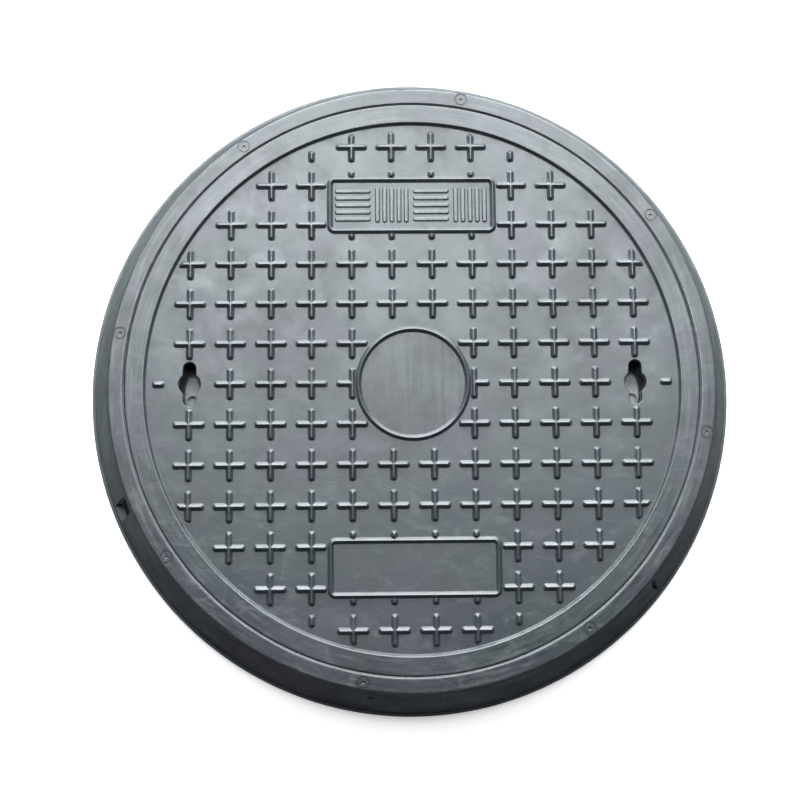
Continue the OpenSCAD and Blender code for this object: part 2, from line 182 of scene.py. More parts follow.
# End of an arm along +X: two rounded corners between side lines at -w and +w, on an end line
# that runs from length low on the first side to length high on the other
def armEnd(w, low, high, corner, k=4):
    t = np.radians(np.linspace(0, 90, k))
    across = -w + corner * (1 - np.cos(t))
    across = np.concatenate([across, -across[::-1]])
    back = corner * (1 - np.sin(t))
    along = low + (high - low) * (across + w) / (2 * w) - np.concatenate([back, back[::-1]])
    return np.stack([along, across], -1)


# Bar along X from a to b with half-width w
def barLoop(a, b, w, cornerA, cornerB):
    return np.concatenate([armEnd(w, b, b, cornerB), -armEnd(w, -a, -a, cornerA)])


# Measures shared by the pieces, in millimetres
tread = {"pitch": 49.5, "span": 39.5, "foot": 4.35, "height": 4.0,
         "reach": 322.0, "fullReach": 315.5, "stubReach": 324.2, "medallion": 71.0,
         "panelHalf": (105.0, 36.5), "panelY": 222.75, "keyX": 272.25}
fieldZ, plateZ, ribZ, footZ, topZ = 96.0, 82.0, 46.0, 40.0, 100.0

# Inset and height of the sides of a raised arm, from the flat around it to its crest
armProfile = [(-0.6, 0.0), (-0.3, 0.0), (0.02, 0.08), (0.4, 0.4), (1.3, 1.26),
              (2.2, 2.12), (3.1, 2.98), (3.6, 3.4), (3.92, 3.56), (4.15, 3.6)]
armWear = [0, 0, 0, 0, 0.05, 0.15, 0.4, 0.9, 1, 1]
# dirt and painted shade at the foot of each arm, darkest in the fillet
armDirtAndShade = [0.25, 0.7, 1, 0.7, 0.3, 0.15, 0.05, 0, 0, 0]


# How far a line from (x, y) along (dx, dy) runs before the circle of radius r
def toCircle(x, y, dx, dy, r):
    along, off = x * dx + y * dy, x * x + y * y - r * r
    root = along * along - off
    if root <= 0:
        return 1e9, 1e9
    root = math.sqrt(root)
    return -along - root, -along + root


# Length of an arm from (x, y) towards (dx, dy), on the side line that lies off to one side
def armReach(x, y, dx, dy, side, inset, row):
    px, py = x - dy * side, y + dx * side
    length = min(tread["span"] / 2 - inset, toCircle(px, py, dx, dy, tread["reach"] - inset)[1])
    near = toCircle(px, py, dx, dy, tread["medallion"])[0]
    if 0 < near < 100:
        length = min(length, near - 0.4 - 0.04 * row)
    halfX, halfY = tread["panelHalf"]
    if abs(abs(y) - tread["panelY"]) < halfY and x * dx < 0:
        length = min(length, abs(x) - halfX - 0.4 - 0.04 * row)
    return length


# Cross: four arms of half-width foot - inset, with round ends and filleted inner corners.
# Where the middle of a cross nearly meets the medallion, the side towards it follows the ring.
def crossLoop(x, y, inset, row):
    w, fillet = tread["foot"] - inset, 0.7 + 0.35 * max(inset, 0)
    blocks = []
    for quarter, (dx, dy) in enumerate(((1, 0), (0, 1), (-1, 0), (0, -1))):
        least = w + fillet + 0.15
        low, high = (max(armReach(x, y, dx, dy, side, inset, row), least) for side in (-w, w))
        corner = min(0.8 * w, max(0.1, 0.85 * (min(low, high) - w - fillet)))
        inner = arc(w + fillet, -w - fillet, fillet, 180, 90, 3)
        blocks.append(turnedBy(np.concatenate([inner, armEnd(w, low, high, corner)]),
                               90 * quarter))
    loop = np.concatenate(blocks)
    if y == 0 and x - tread["medallion"] < tread["foot"]:
        side = np.linspace(14, -14, 14)
        loop[22:36] = np.stack([np.full(14, -w), side], -1)
        loop = loop + (x, y)
        r = np.hypot(loop[:, 0], loop[:, 1])[:, None]
        ring = tread["medallion"] + 0.4 + 0.04 * row
        return np.where(r < ring, loop * ring / r, loop)
    return loop + (x, y)


def addCross(shell, x, y, holes):
    rows = np.stack([np.column_stack([crossLoop(abs(x), y, inset, row), np.full(44, fieldZ + z)])
                     for row, (inset, z) in enumerate(armProfile)])
    if x < 0:
        rows[..., 0] *= -1
        rows = rows[:, ::-1]
    shell.sheet(rows, armWear, armDirtAndShade)
    shell.region(rows[-1, :, :2], [], fieldZ + armProfile[-1][1], 1.0)
    holes.append(rows[0, :, :2])


# Single raised bar on the field, its ends at a and b along the direction from (x, y)
def addBar(shell, x, y, degrees, a, b, holes, w=None, profile=None, base=fieldZ, cut=False,
           wear=None, dirtAndShade=None):
    w = tread["foot"] if w is None else w
    profile = armProfile if profile is None else profile
    rows = []
    for row, (inset, z) in enumerate(profile):
        half = w - inset
        endA = a + (0.4 + 0.04 * row if cut else inset)
        loop = barLoop(endA, b - inset, half, 0.15 if cut else 0.8 * half, 0.8 * half)
        flat = turnedBy(loop, degrees) + (x, y)
        rows.append(np.column_stack([flat, np.full(len(flat), base + z)]))
    rows = np.stack(rows)
    shell.sheet(rows, armWear if wear is None else wear, armDirtAndShade if dirtAndShade is None else dirtAndShade)
    n = rows.shape[1]
    shell.add(rows[-1], None, [(0, k, k + 1) for k in range(1, n - 1)], 1.0)
    holes.append(rows[0, :, :2])


# Ring pocket sector from radius a to b, half as wide as half degrees less the side offset
def sectorLoop(a, b, half, offset, corner, turn=0.0, k=10, kc=4):
    h = math.radians(half)

    def onSide(r):  # angle where the side line, offset from its radius, meets radius r
        return h - math.asin(min(offset / r, 0.999))
    points = []
    for r, turnSign in ((b, 1), (a, -1)):
        limit = onSide(r)
        room = min(corner / r, limit * 0.45)
        t = np.linspace(-limit + room, limit - room, k) * turnSign
        points.append(np.stack([r * np.cos(t), r * np.sin(t)], -1))
    outer, inner = points

    def cornerOf(r, side):
        t = onSide(r) * side
        return np.array([r * math.cos(t), r * math.sin(t)])

    def curve(start, middle, end):  # quadratic through the corner, end points left out
        t = np.linspace(0, 1, kc + 2)[1:-1, None]
        return (1 - t) ** 2 * start + 2 * t * (1 - t) * middle + t * t * end
    parts = [outer]
    bPlus, aPlus, aMinus, bMinus = (cornerOf(b, 1), cornerOf(a, 1), cornerOf(a, -1),
                                    cornerOf(b, -1))
    side = (aPlus - bPlus) / np.linalg.norm(aPlus - bPlus)
    mirror = side * (1, -1)
    onB, onA = bPlus + side * corner, aPlus - side * corner
    parts += [curve(outer[-1], bPlus, onB), onB[None], onA[None], curve(onA, aPlus, inner[0])]
    onA2, onB2 = aMinus - mirror * corner, bMinus + mirror * corner
    parts += [inner, curve(inner[-1], aMinus, onA2), onA2[None], onB2[None],
              curve(onB2, bMinus, outer[0])]
    return turnedBy(np.concatenate(parts), turn)


# Keyhole: two end lobes on a straight web, and a wider middle lobe
keyhole = {"lobeAt": 19.5, "lobe": 7.8, "middle": 13.5}


def keyLoop(x, inset, k=9):
    w, mid, at = keyhole["lobe"] - inset, keyhole["middle"] - inset, keyhole["lobeAt"]
    cut = math.degrees(math.acos(w / mid))
    parts = [arc(0, at, w, 0, 180, 13), arc(0, 0, mid, 180 - cut, 180 + cut, k),
             arc(0, -at, w, 180, 360, 13), arc(0, 0, mid, -cut, cut, k)]
    return np.concatenate(parts) + (x, 0)


coverLook = {"edgeRadius": 1.5, "stepIn": 325.2, "stepOut": 327.6, "radius": 350.3,
             "skirtOut": 347.0, "skirtIn": 335.0, "samples": 480, "medallionSamples": 180,
             "weaveTiles": 4, "weaveRibs": 5, "weaveHeight": 1.2, "ribOffset": 6.0}

ridgeProfile = [(-0.3, 0.0), (0.0, 0.0), (0.3, 0.1), (0.65, 0.4), (1.5, 1.22), (2.4, 2.1),
                (3.3, 2.97), (3.7, 3.26), (4.0, 3.34), (4.3, 3.26), (4.7, 2.97), (5.6, 2.1),
                (6.5, 1.22), (7.35, 0.4), (7.7, 0.1), (8.0, 0.0), (8.35, 0.0)]
ridgeWear = [0, 0, 0, 0.05, 0.1, 0.2, 0.5, 0.9, 1, 0.9, 0.5, 0.2, 0.1, 0.05, 0, 0, 0]
# dirt and painted shade in the fillets on both sides of each ridge
ridgeDirtAndShade = [0.3, 0.7, 1, 0.7, 0.3, 0.1, 0, 0, 0, 0, 0, 0.1, 0.3, 0.7, 1, 0.9, 0.4]


def addTread(shell, holes):
    p, halfX, halfY = tread["pitch"], *tread["panelHalf"]
    crosses = 0
    for row in range(-7, 8):
        for column in range(-7, 7):
            x, y = (column + 0.5) * p, row * p
            reach = math.hypot(x, y)
            inKey = abs(y) < p / 4 and abs(abs(x) - tread["keyX"]) < p / 4
            inPanel = abs(x) < halfX and abs(abs(y) - tread["panelY"]) < halfY
            if reach <= tread["medallion"] or inKey:
                continue
            if inPanel:
                up = 90 if abs(y) > tread["panelY"] else -90
                up *= 1 if y > 0 else -1
                start = abs(tread["panelY"] + (halfY if up * y > 0 else -halfY) - abs(y))
                addBar(shell, x, y, up, start, tread["span"] / 2, holes, cut=True)
            elif reach < tread["fullReach"]:
                addCross(shell, x, y, holes)
                crosses += 1
            elif reach < tread["stubReach"]:
                if abs(x) > abs(y):
                    turn = 0 if x > 0 else 180
                else:
                    turn = 90 if y > 0 else -90
                dx, dy = math.cos(math.radians(turn)), math.sin(math.radians(turn))
                end = min(toCircle(x - dy * side, y + dx * side, dx, dy, tread["reach"])[1]
                          for side in (-tread["foot"], tread["foot"]))
                addBar(shell, x, y, turn, -tread["span"] / 2, min(end, -tread["foot"]), holes)
    print("crosses", crosses)


def addWeave(shell, y, holes):
    inner = 2 * tread["panelHalf"][0] - 16
    tile = (2 * tread["panelHalf"][1] - 16) * 0.78
    step = inner / coverLook["weaveTiles"]
    rib = tile / coverLook["weaveRibs"]
    h = coverLook["weaveHeight"]
    profile = [(-0.3, 0.0), (-0.05, 0.0), (0.3, h * 0.25), (0.9, h * 0.75), (1.25, h * 0.95),
               (1.7, h)]
    for i in range(coverLook["weaveTiles"]):
        cx = (i + 0.5) * step - inner / 2
        for j in range(coverLook["weaveRibs"]):
            off = (j + 0.5) * rib - tile / 2
            turn = 90 * (i % 2)
            x, yy = (cx, y + off) if turn == 0 else (cx - off, y)
            addBar(shell, x, yy, turn, -tile / 2, tile / 2, holes, rib * 0.34, profile,
                   wear=[0, 0, 0.1, 0.4, 0.8, 0.9], dirtAndShade=[0.5, 0.9, 0.8, 0.3, 0, 0])


def makeCover():
    shell, c = Shell(), coverLook
    n, holes = c["samples"], []
    addTread(shell, holes)
    # medallion and panels: a ridge carried round each outline, and a floor inside it
    ridge = [(s, fieldZ + z) for s, z in ridgeProfile]
    m = c["medallionSamples"]
    rows = carried(lambda s: circleLoop(tread["medallion"] - s, m), ridge)
    shell.sheet(rows, ridgeWear, ridgeDirtAndShade)
    holes.append(rows[0, :, :2])
    shell.region(rows[-1, :, :2], [], fieldZ, 0.0, 0.15)
    halfX, halfY = tread["panelHalf"]
    for y in (-tread["panelY"], tread["panelY"]):
        rows = carried(lambda s: panelLoop(halfX - s, halfY - s, max(10 - s, 1.5)) + (0, y),
                       ridge)
        shell.sheet(rows, ridgeWear, ridgeDirtAndShade)
        holes.append(rows[0, :, :2])
        inside = []
        if y > 0:
            addWeave(shell, y, inside)
        shell.region(rows[-1, :, :2], inside, fieldZ, 0.0, 0.25)
    # keyholes: rounded over at the top, straight down through the plate
    keyRows = [(-1.1, 96.0), (-0.9, 96.0), (-0.55, 95.93), (-0.2, 95.7), (0.0, 95.3),
               (0.0, 82.5), (-0.15, 82.1), (-0.4, 82.0), (-0.8, 82.0)]
    keyBottoms = {}
    for side in (-1, 1):
        x = side * tread["keyX"]
        rows = carried(lambda s: keyLoop(x, s), keyRows)
        # painted shade: the walls down through the plate darken to full, standing for the shaded
        # walls of the pit
        shell.sheet(rows, [0, 0.3, 0.7, 0.8, 0.4, 0, 0, 0, 0],
                    [0.3, 0.3, 0.2, 0.3, 0.6, 1, 1, 1, 1])
        holes.append(rows[0, :, :2])
        keyBottoms[0 if side > 0 else 6] = rows[-1, :, :2]
    # border, edge, skirt and the step down to the field
    e, out, top = c["edgeRadius"], c["radius"], topZ
    profile = [(c["skirtIn"] - 0.5, ribZ), (c["skirtIn"] - 0.1, ribZ), (c["skirtIn"], ribZ - 0.3)]
    profile += [(c["skirtIn"], footZ + 0.8)] + bend(c["skirtIn"] + 0.8, footZ + 0.8, 0.8, 180, 270)
    profile += bend(c["skirtOut"] - 1.2, footZ + 1.2, 1.2, 270, 360)
    profile += [(out - 0.15, top - e - 1.5)] + bend(out - e, top - e, e, 2, 90, 6)
    profile += [(out - e - 1.2, top), (c["stepOut"] + 1.4, top), (c["stepOut"] + 0.9, top)]
    profile += [(c["stepOut"] + 0.35, top - 0.1), (c["stepOut"] - 0.1, top - 0.5),
                (c["stepOut"] - 1.1, top - 2.2), (c["stepIn"] + 0.25, fieldZ + 0.4),
                (c["stepIn"] - 0.15, fieldZ + 0.09), (c["stepIn"] - 0.7, fieldZ),
                (c["stepIn"] - 1.0, fieldZ)]
    k = len(profile)
    wear, dirtAndShade = np.zeros(k), np.zeros(k)
    wear[-9:-5] = [0.2, 0.9, 1, 0.7]
    # dirt and painted shade along the foot of the step down to the field
    dirtAndShade[-5:] = [0.3, 0.8, 1, 0.9, 0.4]
    wear[12:19] = [0.2, 0.6, 0.9, 1, 0.9, 0.5, 0.2]
    rows = turned(profile, n)
    shell.sheet(rows, wear, dirtAndShade)
    shell.region(rows[-1, :, :2], holes, fieldZ, 0.0, 0.0)
    # underside: ribs and rings left between 25 pockets
    pocketRows = [(-0.45, 0.0), (-0.25, 0.05), (0.0, 0.35), (0.75, 33.4), (1.1, 34.9),
                  (1.9, 35.8), (2.9, 36.0), (3.3, 36.0)]
    below = []
    off = c["ribOffset"]
    for i in range(12):
        for a, b, corner in ((65.0, 197.25, 5.0), (209.25, c["skirtIn"] - 1.6, 7.0)):
            rows = carried(lambda s: sectorLoop(a + s, b - s, 15, off + s, max(corner - s, 1.5),
                                                30 * i),
                           [(s, ribZ + z) for s, z in pocketRows])
            shell.sheet(rows, 0, [0, 0, 0, 0.2, 0.6, 0.6, 0.3, 0.2], flip=True)
            below.append(rows[0, :, :2])
            inside = [keyBottoms[i]] if a > 200 and i in keyBottoms else []
            shell.region(rows[-1, :, :2], inside, plateZ, 0.0, 0.2, flip=True)
    rows = carried(lambda s: circleLoop(53.0 - s, 96), [(s, ribZ + z) for s, z in pocketRows])
    shell.sheet(rows, 0, [0, 0, 0, 0.2, 0.6, 0.6, 0.3, 0.2], flip=True)
    below.append(rows[0, :, :2])
    shell.region(rows[-1, :, :2], [], plateZ, 0.0, 0.2, flip=True)
    shell.region(circleLoop(c["skirtIn"] - 0.5, n), below, ribZ, 0.0, 0.1, flip=True)
    made = shell.build("coverSkin")
    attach(made, "cover")
    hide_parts("cover_plate")
    return made


coverSkin = makeCover()


frameLook = {"samples": 1080, "faceIn": 352.2, "seamIn": 350.8, "wallIn": 350.0,
             "clear": 310.0, "faceOut": 371.0, "edgeRadius": 2.2,
             "innerEdge": 1.3, "lean": 37 / 93,
             "hollows": 16, "markCount": 8, "markFirst": 35.0, "markRadius": 362.0,
             "nicks": [(188, 94, 5, 5, 1.2), (186, 60, 4, 9, 0.8), (19, 96, 4, 3, 1.0),
                       (7, 93, 5, 5, 1.1), (334, 95, 4, 4, 1.3), (80, 98, 7, 3, 0.9),
                       (92, 97, 4, 3, 0.8), (262, 96, 4, 3, 1.0), (231, 97, 6, 4, 0.9),
                       (300, 20, 6, 8, 0.9), (150, 97, 4, 3, 0.8), (120, 30, 8, 7, 0.8)],
             "waviness": 0.28,
             "notches": [("notchWide", 202.5, 11.0, 14.0, 85.0),
                         ("notchNarrow", 320.0, 3.0, 24.0, 85.0)],
             "lugs": [("lugRound", 261.8, 1.0, 5.0, 60.0, 71.0, 2.2),
                      ("lugLong", 275.8, 0.2, 1.6, 58.0, 74.0, 1.6)]}


# Outer radius of the leaning wall at height z: a straight line from the face to the foot
def wallRadius(z):
    return frameLook["faceOut"] + (98 - z) * frameLook["lean"]


# Pushes the outer wall in: slow waves round it, and a bell-shaped dent for each nick, given
# as its angle, height, width, tallness and depth
def weathered(rows, first, last):
    x, y, z = (rows[first:last, :, k] for k in range(3))
    r, t = np.hypot(x, y), np.arctan2(y, x)
    wave = (np.sin(5 * t + 0.8) + np.sin(11 * t + 2.1 + z / 30) + np.sin(23 * t + 0.4)
            + np.sin(47 * t + 1.3 + z / 9)) / 4
    push = frameLook["waviness"] * (1 - wave) / 2
    for angle, height, wide, tall, deep in frameLook["nicks"]:
        off = (t - math.radians(angle) + math.pi) % (2 * math.pi) - math.pi
        push = push + deep * np.exp(-(off * r / wide) ** 2 - ((z - height) / tall) ** 2)
    share = 1 - push / r
    rows[first:last, :, 0] *= share
    rows[first:last, :, 1] *= share
    return rows


# Closed prism or frustum from outline loops at given heights, capped at both ends
def solid(name, loops, heights):
    shell = Shell()
    rows = np.stack([np.column_stack([loop, np.full(len(loop), z)])
                     for loop, z in zip(loops, heights)])
    shell.sheet(rows)
    shell.region(rows[0, :, :2], [], heights[0], flip=True)
    shell.region(rows[-1, :, :2], [], heights[-1])
    return shell.build(name)


# Cuts the solids in `away` from a piece and joins those in `onto` to it, then removes them
def carve(target, away, onto):
    for tools, kind in ((onto, "UNION"), (away, "DIFFERENCE")):
        for tool in tools:
            change = target.modifiers.new(tool.name, "BOOLEAN")
            change.operation, change.object, change.solver = kind, tool, "MANIFOLD"
    graph = bpy.context.evaluated_depsgraph_get()
    mesh = bpy.data.meshes.new_from_object(target.evaluated_get(graph))
    target.modifiers.clear()
    target.data = mesh
    for tool in away + onto:
        bpy.data.objects.remove(tool)
    mesh.shade_smooth()
    mesh.set_sharp_from_angle(angle=math.radians(38))


# Ejector pin marks: a ring groove with drafted sides and a dimple in its middle
def markCutters():
    made = []
    groove, dimple = Shell(), Shell()
    section = [(8.0, 100.6), (5.8, 100.6), (6.0, 99.3), (6.2, 99.0), (7.5, 99.0), (7.8, 99.3)]
    pit = [(0.02, 99.0), (1.5, 99.0), (1.9, 99.3), (2.1, 100.6), (0.02, 100.6)]
    for k in range(frameLook["markCount"]):
        angle = math.radians(frameLook["markFirst"] + 45 * k)
        x, y = (frameLook["markRadius"] * f(angle) for f in (math.cos, math.sin))
        groove.sheet(turned(section, 48, x, y), wrap=True)
        dimple.sheet(turned(pit, 24, x, y), wrap=True)
    return [groove.build("markGroove"), dimple.build("markDimple")]


# Upright notch through the leaning wall: a slot with a round back, cut as a prism between
# two heights at an angle; half is half its width
def notchCutter(name, angle, half, low, high):
    back = arc(378, 0, half, 90, 270, 17)
    loop = np.concatenate([back, [[378, -half], [420, -half], [420, half], [378, half]]])
    keep = np.ones(len(loop), bool)
    keep[[17, 20]] = False
    return solid(name, [turnedBy(loop[keep], angle)] * 2, [low, high])


# Small lug on the wall: a tapered round or long boss standing on the lean of the wall
def lug(name, angle, along, across, low, high, rise):
    loops, heights = [], []
    for z in np.linspace(low, high, 9):
        t = (z - low) / (high - low) * 2 - 1
        out = rise * math.sqrt(max(1 - t * t, 0.02))
        r = wallRadius(z)
        wide = across * math.sqrt(max(1 - t ** 2 * along, 0.05))
        loops.append(turnedBy(np.array([[r - 4, -wide], [r + out * 0.6, -wide],
                                        [r + out, -wide * 0.6], [r + out, wide * 0.6],
                                        [r + out * 0.6, wide], [r - 4, wide]]), angle))
        heights.append(z)
    return solid(name, loops, heights)


def makeFrame():
    shell, f = Shell(), frameLook
    n, e = f["samples"], f["edgeRadius"]
    lean = math.degrees(math.atan(f["lean"]))
    profile = [(411.0, 0.0)] + bend(411.2, 0.8, 0.8, 270, 360) + bend(411.2, 4.2, 0.8, 0, 90)
    profile += [(409.5, 5.0), (408.5, 5.05), (407.9, 5.6), (wallRadius(6.8), 6.8)]
    profile += [(wallRadius(z), z) for z in (10, 16, 22, 30, 38, 46, 54, 60, 66, 72, 78, 84,
                                             88, 91, 93.5, 95.5, 97.2)]
    top = wallRadius(100) - e * math.tan(math.radians(45 - lean / 2))
    rim = len(profile)
    profile += bend(top, 100 - e, e, lean, 90, 6)
    profile += [(top - 1.2, 100), (f["faceIn"] + e + 1.2, 100)]
    e = f["innerEdge"]
    profile += bend(f["faceIn"] + e, 100 - e, e, 90, 178, 6)
    inner = len(profile)
    profile += [(f["seamIn"] + 0.8, 98.5), (f["seamIn"] + 0.2, 98.2), (f["seamIn"], 97.5),
                (f["seamIn"], 88.0), (f["seamIn"] + 0.2, 66), (f["wallIn"] + 0.2, 42.5),
                (f["wallIn"] - 0.05, 39.4), (f["wallIn"] - 0.4, 38.3), (f["wallIn"] - 1.4, 38.0),
                (330, 38), (f["clear"] + 1.6, 38)]
    profile += bend(f["clear"] + 1, 37, 1.0, 90, 180) + bend(f["clear"] + 1, 27, 1.0, 180, 270)
    profile += [(322, 26), (335.6, 26), (337.0, 25.8), (337.7, 25.1), (338, 23.8), (338, 12)]
    profile += bend(338.8, 0.8, 0.8, 180, 270) + [(339.0, 0.0)]
    wear, dirtAndShade = np.zeros(len(profile)), np.zeros(len(profile))
    wear[rim - 1:rim + 7] = [0.15, 0.5, 0.9, 1, 1, 0.9, 0.6, 0.2]
    wear[inner - 7:inner + 1] = [0.15, 0.5, 0.8, 0.9, 0.8, 0.5, 0.2, 0]
    wear[5:9] = [0.7, 0.9, 0.9, 0.6]
    # dirt and painted shade on the ledge where the wall meets its foot
    dirtAndShade[8:14] = [0.4, 0.8, 1, 1, 0.7, 0.3]
    wear[inner:inner + 3] = [0.3, 0.3, 0.2]
    # dirt and painted shade down the inner wall into the gap behind the cover and across the seat
    dirtAndShade[inner + 3:inner + 11] = [0.5, 0.5, 0.6, 0.8, 1, 1, 0.8, 0.5]
    rows = weathered(turned(profile, n), 1, rim + 4)
    shell.sheet(rows, wear, dirtAndShade)
    # hollow underneath: one pocket between each two gussets, narrowing to the head
    below = []

    def outerAt(z):
        return 401.38 - 0.393 * (z + 1)
    steps = [(-0.5, 345.5, 401.5, 0.0), (-0.3, 345.7, 401.3, 0.0), (0.0, 346, 400.9, 0.5),
             (0.3, 346, outerAt(14), 14.0), (0.5, 346.2, outerAt(28), 28.0),
             (0.6, 353.4, outerAt(38), 38.0), (0.7, 361, outerAt(46), 46.0),
             (0.8, 361, outerAt(60), 60.0), (0.9, 361, outerAt(80), 80.0),
             (1.1, 361.2, outerAt(86.6), 86.6), (1.5, 361.7, outerAt(88) - 0.4, 88.0)]
    for k in range(f["hollows"]):
        loops = [sectorLoop(a, b, 10.65, max(s, 0), min(4, (b - a) * 0.3), 22.5 * k, 16)
                 for s, a, b, z in steps]
        walls = np.stack([np.column_stack([loop, np.full(len(loop), z)])
                          for loop, (s, a, b, z) in zip(loops, steps)])
        shell.sheet(walls, 0, 0.3, flip=True)
        below.append(walls[0, :, :2])
        shell.region(walls[-1, :, :2], [], 88.0, 0.0, 0.3, flip=True)
    shell.region(rows[0, :, :2], [rows[-1, :, :2]] + below, 0.0, 0.2, 0.3, flip=True)
    made = shell.build("frameSkin")
    away = markCutters() + [notchCutter(*notch) for notch in f["notches"]]
    onto = [lug(*row) for row in f["lugs"]]
    carve(made, away, onto)
    print("frameSkin", len(made.data.polygons), "faces after carving")
    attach(made, "frame")
    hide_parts("frame_ring")
    return made


frameSkin = makeFrame()


# Seat gasket: a flat band with round lips on top, turned about the middle
gasketLook = {"inner": 316.0, "outer": 349.0, "low": 38.0, "high": 40.0, "lips": 6,
              "lipDepth": 0.7, "samples": 360}


def makeGasket():
    g = gasketLook
    r = np.linspace(g["outer"] - 0.3, g["inner"] + 0.3, g["lips"] * 8 + 1)
    swing = np.cos(np.linspace(0, 2 * math.pi * g["lips"], len(r)))
    z = g["high"] - g["lipDepth"] * (0.5 + 0.5 * swing) ** 0.6
    section = np.column_stack([r, z]).tolist()
    section += [(g["inner"], g["high"] - 1.0), (g["inner"], g["low"] + 0.3),
                (g["inner"] + 0.3, g["low"]), (g["outer"] - 0.3, g["low"]),
                (g["outer"], g["low"] + 0.3), (g["outer"], g["high"] - 1.0)]
    shell = Shell()
    shell.sheet(turned(section, g["samples"]), 0, 0.3, wrap=True)
    made = shell.build("gasketSkin")
    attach(made, "frame")
    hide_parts("seat_gasket")
    return made


gasketSkin = makeGasket()


# Lock spring: a circle of wire carried up a helix, closed by a fan at each end
springLook = {"mean": 11.15, "wire": 1.0, "low": 24.0, "high": 33.7, "turns": 3.0,
              "perTurn": 48, "sides": 14}


def makeSpring(side):
    g = springLook
    rings = int(g["turns"] * g["perTurn"]) + 1
    t = np.linspace(0, 2 * math.pi * g["turns"], rings)[:, None]
    a = 2 * math.pi * np.arange(g["sides"])[None] / g["sides"]
    if side == "right":
        t = t + math.pi
    rise = (g["high"] - g["low"] - 2 * g["wire"]) * np.linspace(0, 1, rings)[:, None]
    r = g["mean"] + g["wire"] * np.cos(a)
    x = (-1 if side == "left" else 1) * tread["keyX"]
    rows = np.stack([x + r * np.cos(t), r * np.sin(t),
                     g["low"] + g["wire"] + rise + g["wire"] * np.sin(a)], -1)
    shell = Shell()
    shell.sheet(rows)
    fan = [(0, k, k + 1) for k in range(1, g["sides"] - 1)]
    shell.add(rows[0], None, fan)
    shell.add(rows[-1], None, fan, flip=True)
    made = shell.build(side + "SpringCoil")
    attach(made, side + "_lock")
    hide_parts(side + "_lock_spring")
    return made


springs = [makeSpring(side) for side in ("left", "right")]
print("pieces built")


class Wire:
    # One output of a material node; arithmetic with numbers or other wires adds Math nodes
    def __init__(self, paint, socket):
        self.paint, self.socket = paint, socket

    def math(self, kind, *others, clamp=False):
        return self.paint.wire("ShaderNodeMath", {"operation": kind, "use_clamp": clamp},
                               [self, *others])

    def __add__(self, other):
        return self.math("ADD", other)

    def __sub__(self, other):
        return self.math("SUBTRACT", other)

    def __rsub__(self, other):
        return self.paint.wire("ShaderNodeMath", {"operation": "SUBTRACT"}, [other, self])

    def __mul__(self, other):
        return self.math("MULTIPLY", other)

    def __pow__(self, other):
        return self.math("POWER", other)

    __radd__, __rmul__ = __add__, __mul__

    # 0 at low, 1 at high, eased between
    def between(self, low, high):
        return self.paint.wire("ShaderNodeMapRange", {"interpolation_type": "SMOOTHSTEP"},
                               [self, low, high, 0.0, 1.0])


class Paint:
    # One material with its Principled shader, and the node building it needs
    def __init__(self, name):
        self.material = bpy.data.materials.new(name)
        self.material.use_nodes = True
        self.tree = self.material.node_tree
        self.tree.nodes.clear()
        self.shader = self.node("ShaderNodeBsdfPrincipled", {}, {})
        output = self.node("ShaderNodeOutputMaterial", {}, {})
        self.tree.links.new(self.shader.outputs[0], output.inputs[0])
        self.place = self.wire("ShaderNodeTexCoord", {}, {}, "Object")

    def node(self, kind, settings, values):
        made = self.tree.nodes.new(kind)
        for key, value in settings.items():
            setattr(made, key, value)
        pairs = values.items() if isinstance(values, dict) else enumerate(values)
        for key, value in pairs:
            if value is None:
                continue
            if isinstance(value, Wire):
                self.tree.links.new(value.socket, made.inputs[key])
            else:
                made.inputs[key].default_value = value
        return made

    def wire(self, kind, settings, values, output=0):
        return Wire(self, self.node(kind, settings, values).outputs[output])

    def set(self, **values):
        for key, value in values.items():
            socket = self.shader.inputs[key.replace("_", " ")]
            if isinstance(value, Wire):
                self.tree.links.new(value.socket, socket)
            else:
                socket.default_value = value

    def moved(self, shift=(0, 0, 0), turn=(0, 0, 0), scale=(1, 1, 1)):
        return self.wire("ShaderNodeMapping", {}, [self.place, shift, turn, scale])

    # Clouds: fractal noise, `size` metres across, centred on 0.5
    def clouds(self, size, detail=4.0, rough=0.55, at=None, warp=0.0):
        return self.wire("ShaderNodeTexNoise", {}, {
            "Vector": at or self.place, "Scale": 1 / size, "Detail": detail,
            "Roughness": rough, "Distortion": warp})

    # Scratches: noise drawn out along one direction, kept only near its crests
    def scratches(self, size, stretch, turn, low, high, shift=(0, 0, 0)):
        at = self.wire("ShaderNodeMapping", {"vector_type": "TEXTURE"},
                       [self.place, shift, (0, 0, math.radians(turn)), (1, stretch, 1)])
        return self.clouds(size, 2.0, 0.5, at, 0.4).between(low, high)

    def blend(self, share, a, b, kind="MIX"):
        a, b = (v if isinstance(v, Wire) else (*v, 1.0) for v in (a, b))
        return self.wire("ShaderNodeMix", {"data_type": "RGBA", "blend_type": kind,
                                           "clamp_factor": True}, {0: share, 6: a, 7: b}, 2)

    def attribute(self, name):
        return self.wire("ShaderNodeAttribute", {"attribute_name": name}, {}, "Fac")

    def bump(self, height, strength, distance, under=None):
        return self.wire("ShaderNodeBump", {}, {"Height": height, "Strength": strength,
                                                "Distance": distance, "Normal": under})


